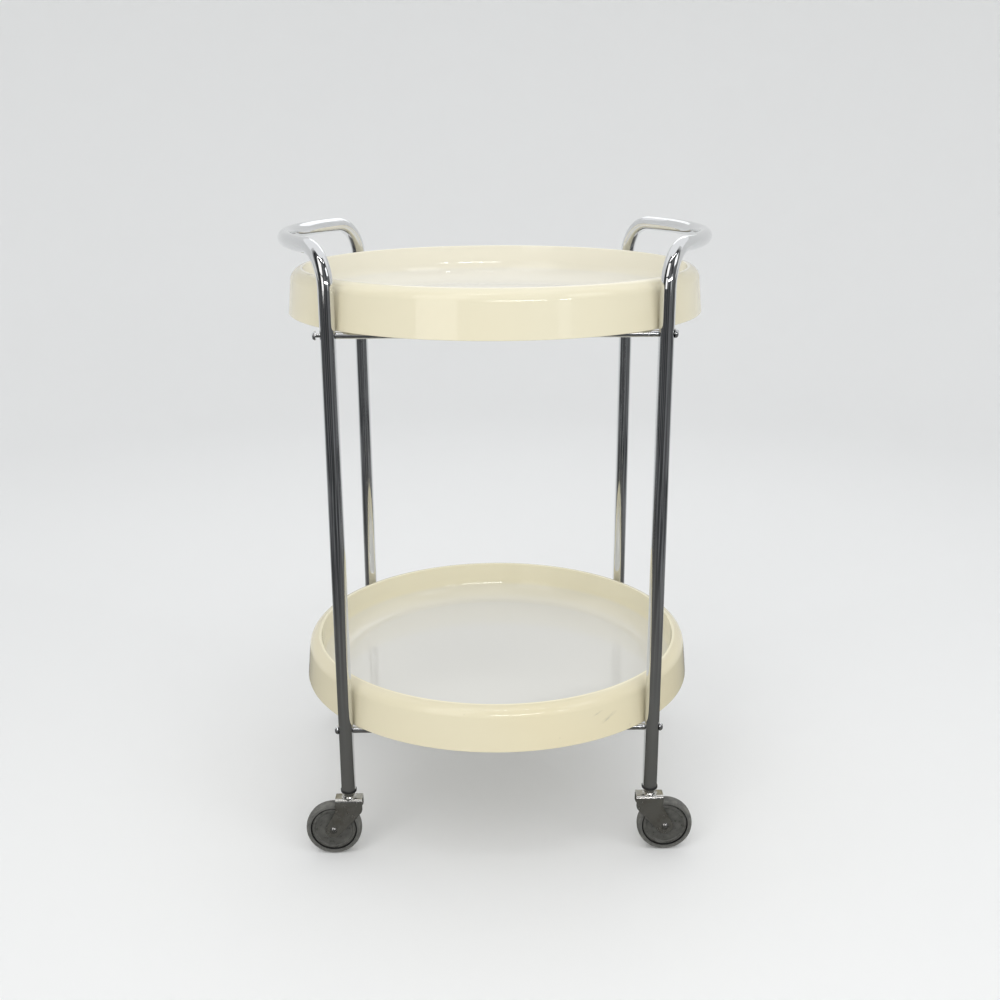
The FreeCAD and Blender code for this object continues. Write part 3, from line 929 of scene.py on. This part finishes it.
def crowned_tyre(end, side):
    """Tyre with a groove beside the hub on each face; also counts the groove's faces."""
    bore = hub_radius + press_fit
    groove = bore + groove_width
    step = tyre_half - groove_depth
    shoulder = wheel_radius - tyre_crown
    half = [(bore, step), (groove, step), (groove, tyre_half), (shoulder, tyre_half),
            (wheel_radius - tread_drop, tread_edge)]
    other_half = [(radius, -along) for radius, along in half]
    section = other_half + [(wheel_radius, 0)] + half[::-1] + other_half[:1]
    rounds = {2: (groove_round, 2), 3: (tyre_shoulder_round, 4), 4: (tread_round, 5),
              6: (tread_round, 5), 7: (tyre_shoulder_round, 4), 8: (groove_round, 2)}
    bm = turned(section, rounds, axis="Y", steps=tyre_steps)
    piece = wheel_piece(bm, end, side, "tyre", tyre_finish)
    piece.data.materials.append(groove_shade_finish)
    groove_faces = 0
    for face in piece.data.polygons:
        radii = [piece.data.attributes[axle_distance].data[index].value for index in face.vertices]
        # Faces down in the groove take the painted shade
        if max(radii) < groove + groove_margin:
            face.material_index = 1
            groove_faces += 1
    return piece, groove_faces


tyres = [crowned_tyre(end, side) for end, side in corners]
print("tyres:", len(tyres), "faces of each:", len(tyres[0][0].data.polygons), "in the groove:", tyres[0][1])

# %% [markdown]
# A black plastic plug closes each leg, and its flange shows as a collar under the tube. It is turned like
# the rest, with a soft outer edge. The stem, the rivet and the pieces inside the swivel keep their
# measured shapes and only get a finish.

# %% Model the collars
flange_round = 0.7 * mm
flange_top_round = 0.42 * mm
barrel_round = 1.0 * mm
socket_bore = 4.44 * mm
collar_steps = 56


def leg_collar(end, side):
    """Plug with its flange under the tube's end."""
    node = f"{end}_{side}_caster_socket"
    low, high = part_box(node)
    flange = (high.x - low.x) / 2
    barrel = tube_radius - tube_wall - press_fit
    section = [(socket_bore, low.z), (flange, low.z), (flange, tube_end), (barrel, tube_end),
               (barrel, high.z), (socket_bore, high.z), (socket_bore, low.z)]
    rounds = {1: (flange_round, 4), 2: (flange_top_round, 3), 4: (barrel_round, 2)}
    bm = turned(section, rounds, steps=collar_steps)
    to_leg(bm, end, side)
    return finished_piece(f"{end}_{side}_leg_collar", bm, collar_finish, "frame", [node])


collars = [leg_collar(end, side) for end, side in corners]
print("collars:", [collar.name for collar in collars])

# %% Give the measured pieces their finish
kept_finishes = {"stem": fork_finish, "axle_rivet": steel_finish, "axle_sleeve": steel_finish,
                 "ball_race": steel_finish, "grip_ring": steel_finish}
for end, side in corners:
    for kind, finish in kept_finishes.items():
        node = nodes[f"{end}_{side}_caster_{kind}"]
        for slot in node.material_slots:
            slot.material = finish
print("measured pieces kept:", len(corners) * len(kept_finishes))

# %% [markdown]
# ## Studio
# The cart stands in a plain pale cove: a flat floor that curves up into a low wall all round, so there is
# a quiet ground in every view. Daylight comes down over the wall, and soft windows stand to the front
# left, the front right and the rear. Two low bands and two tubes overhead draw the thin bright lines on
# the rims, and two tall panels show as faint soft-edged patches in the glossy skirt. Chrome needs
# something dark to show, so a dark cloth lies round the front and rises into a canopy, outside the
# picture. Its paler and darker bands become the fine streaks along the legs. Only reflections see it, and
# its ends fade to the cove's tone.

# %% Build the cove
cove_reach = 3.2
cove_height = 2.6
cove_curve = 1.2
cove_curve_steps, cove_steps = 24, 128
cove_colour = (0.87, 0.87, 0.865)
paint_shade = 0.985


def stage_object(name, bm, finish):
    """Object of the studio, which is no part of the cart."""
    mesh = bpy.data.meshes.new(name)
    bm.to_mesh(mesh)
    bm.free()
    mesh.shade_smooth()
    mesh.materials.append(finish)
    obj = bpy.data.objects.new(name, mesh)
    bpy.context.scene.collection.objects.link(obj)
    return obj


def plain_paint(name, colour, roughness):
    """Matt paint with a faint change of tone."""
    material, tree, shader = new_finish(name)
    shade = noise(tree, object_place(tree), 1.5, 2.0)
    tint = tuple(paint_shade * channel for channel in colour)
    fill(tree, shader, {"Base Color": mixed(tree, shade, colour, tint), "Roughness": roughness,
                        "Specular IOR Level": 0.2})
    return material


cove_paint = plain_paint("cove_pale_paint", cove_colour, 0.8)
cove_section = [(0, 0), (cove_reach, 0), (cove_reach, cove_height)]
cove_bm = turned(cove_section, {1: (cove_curve, cove_curve_steps)}, steps=cove_steps)
face_up(cove_bm, min(cove_bm.faces, key=lambda face: face.calc_center_median().length))
cove = stage_object("pale_cove", cove_bm, cove_paint)
print("cove faces:", len(cove.data.polygons))

# %% Build the dark screen
screen_centre = Vector((0, 0.2, 0))
apron_lift, apron_inner, apron_sweep = 4 * mm, 0.30, radians(240)
screen_reach, screen_foot, screen_sweep = 2.25, 0.6, radians(165)
screen_top, screen_lean, canopy_reach, canopy_top = 2.2, 0.2, 1.2, 3.3
apron_bend, canopy_bend = 0.3, 0.8
apron_fade, canopy_fade = (0.0, 1.2), (-0.65, -0.1)
screen_steps, screen_bend_steps = 48, 8
cloth_dark = (0.035, 0.036, 0.038)
cloth_pale = (0.18, 0.182, 0.186)
cloth_near = (0.11, 0.108, 0.100)
near_edge, near_core = 1.3, 0.3
cloth_bands = (1.5, 1.5, 0.3)


def screen_cloth(name, fade_start, fade_end):
    """Dark cloth in soft bands, which fades to the cove's tone between two places along Y."""
    material, tree, shader = new_finish(name)
    place = object_place(tree)
    bands = ramp(tree, noise(tree, stretched(tree, place, cloth_bands), 1.0, 2.0), 0.38, 0.66)
    cloth = mixed(tree, bands, cloth_dark, cloth_pale)
    near = ramp(tree, from_axis(tree, place), near_edge, near_core)
    cloth = mixed(tree, near, cloth, cloth_near)
    rear = ramp(tree, add(tree, "SeparateXYZ", {"Vector": place}).outputs["Y"], fade_start, fade_end)
    fill(tree, shader, {"Base Color": mixed(tree, rear, cloth, cove_colour), "Roughness": 0.9,
                        "Specular IOR Level": 0.1})
    return material


def dark_screen(name, section, rounds, sweep, cloth):
    """Cloth swept round the front from (outward, up) points; only reflections see it."""
    bm = bmesh.new()
    verts = section_line(bm, [(0, -out, up) for out, up in section])
    for number, radius in rounds.items():
        round_vertex(bm, verts[number], radius, screen_bend_steps)
    bmesh.ops.rotate(bm, verts=bm.verts, matrix=Matrix.Rotation(-sweep / 2, 3, "Z"))
    bmesh.ops.spin(bm, geom=bm.verts[:] + bm.edges[:], cent=(0, 0, 0), axis=(0, 0, 1), angle=sweep,
                   steps=screen_steps)
    bmesh.ops.recalc_face_normals(bm, faces=bm.faces)
    bmesh.ops.translate(bm, verts=bm.verts, vec=screen_centre)
    screen = stage_object(name, bm, cloth)
    screen.visible_camera = False
    screen.visible_diffuse = False
    screen.visible_shadow = False
    screen.visible_transmission = False
    return screen


apron_section = [(apron_inner, apron_lift), (screen_reach, apron_lift), (screen_reach, screen_foot)]
apron_cloth = screen_cloth("apron_dark_cloth", *apron_fade)
apron = dark_screen("dark_apron", apron_section, {1: apron_bend}, apron_sweep, apron_cloth)
canopy_section = [(screen_reach, screen_foot), (screen_reach + screen_lean, screen_top),
                  (canopy_reach, canopy_top)]
canopy_cloth = screen_cloth("canopy_dark_cloth", *canopy_fade)
canopy = dark_screen("dark_canopy", canopy_section, {1: canopy_bend}, screen_sweep, canopy_cloth)
print("dark cloth:", [(item.name, [round(v, 2) for v in item.dimensions]) for item in (apron, canopy)])

# %% Hang the lights
light_spread = radians(110)
warm_white = (1.0, 0.99, 0.97)
cool_white = (0.97, 0.985, 1.0)
plain_white = (1.0, 1.0, 1.0)
sky_strength = 0.96


def softbox(name, place, aim, width, depth, watts, colour):
    """Rectangular lamp that faces a point and is hidden from the camera."""
    data = bpy.data.lights.new(name, "AREA")
    data.shape = "RECTANGLE"
    data.size, data.size_y = width, depth
    data.energy = watts
    data.spread = light_spread
    data.color = colour
    light = bpy.data.objects.new(name, data)
    light.location = place
    light.rotation_euler = (Vector(aim) - Vector(place)).to_track_quat("-Z", "Y").to_euler()
    light.visible_camera = False
    bpy.context.scene.collection.objects.link(light)
    return light


cart_middle = (0, 0, 0.4)
rim_front = (0, -0.2, 0.6)
lights = [
    softbox("window_left", (-0.95, -1.60, 1.85), rim_front, 1.1, 1.5, 2.4, warm_white),
    softbox("window_right", (1.7, -1.2, 1.9), cart_middle, 0.9, 1.1, 1.6, cool_white),
    softbox("band_long", (0.30, -1.70, 0.95), cart_middle, 0.92, 0.10, 1.5, plain_white),
    softbox("band_short", (1.07, -1.55, 0.95), cart_middle, 0.20, 0.10, 0.35, plain_white),
    softbox("door_left", (-0.93, -1.63, 0.80), rim_front, 0.71, 0.80, 0.8, warm_white),
    softbox("door_right", (1.06, -1.59, 0.80), rim_front, 0.22, 0.80, 0.14, cool_white),
    softbox("window_rear", (0.3, 1.90, 1.80), cart_middle, 1.5, 1.0, 1.2, cool_white),
    softbox("tube_left", (-0.17, -1.00, 2.60), (-0.17, -0.2, 0.6), 1.5, 0.025, 1.2, plain_white),
    softbox("tube_right", (0.86, -0.90, 2.60), (0.86, -0.2, 0.6), 0.28, 0.025, 0.25, plain_white),
]

world = bpy.data.worlds.new("daylight")
world.use_nodes = True
sky = world.node_tree.nodes["Background"]
sky.inputs["Color"].default_value = (*cool_white, 1.0)
sky.inputs["Strength"].default_value = sky_strength
bpy.context.scene.world = world
print("lights:", [light.name for light in lights])

# %% [markdown]
# ## Camera
# The camera was fitted to the rims, the legs and the handles: it looks down a little from just above
# handle height, almost straight at the front.

# %% Set the camera
camera_place = Vector((-0.0171, -1.3444, 0.7795))
camera_yaw, camera_pitch, camera_roll = 0.0161, 0.3017, -0.0039
picture_side = 1000
focal_pixels = 1195.79
sensor_width = 36.0


def fitted_camera():
    """Camera at the fitted place, turned by yaw, pitch and roll."""
    ahead = cos(camera_pitch)
    forward = Vector((sin(camera_yaw) * ahead, cos(camera_yaw) * ahead, -sin(camera_pitch)))
    level = Vector((cos(camera_yaw), -sin(camera_yaw), 0))
    upright = level.cross(forward)
    across = level * cos(camera_roll) + upright * sin(camera_roll)
    up = upright * cos(camera_roll) - level * sin(camera_roll)
    data = bpy.data.cameras.new("camera")
    data.sensor_width = sensor_width
    data.lens = focal_pixels * sensor_width / picture_side
    camera = bpy.data.objects.new("camera", data)
    turn = Matrix((across, up, -forward)).transposed().to_4x4()
    camera.matrix_world = Matrix.Translation(camera_place) @ turn
    bpy.context.scene.collection.objects.link(camera)
    bpy.context.scene.camera = camera
    return camera


camera = fitted_camera()
bpy.context.scene.view_settings.view_transform = "Standard"
print("lens", round(camera.data.lens, 2), "mm")
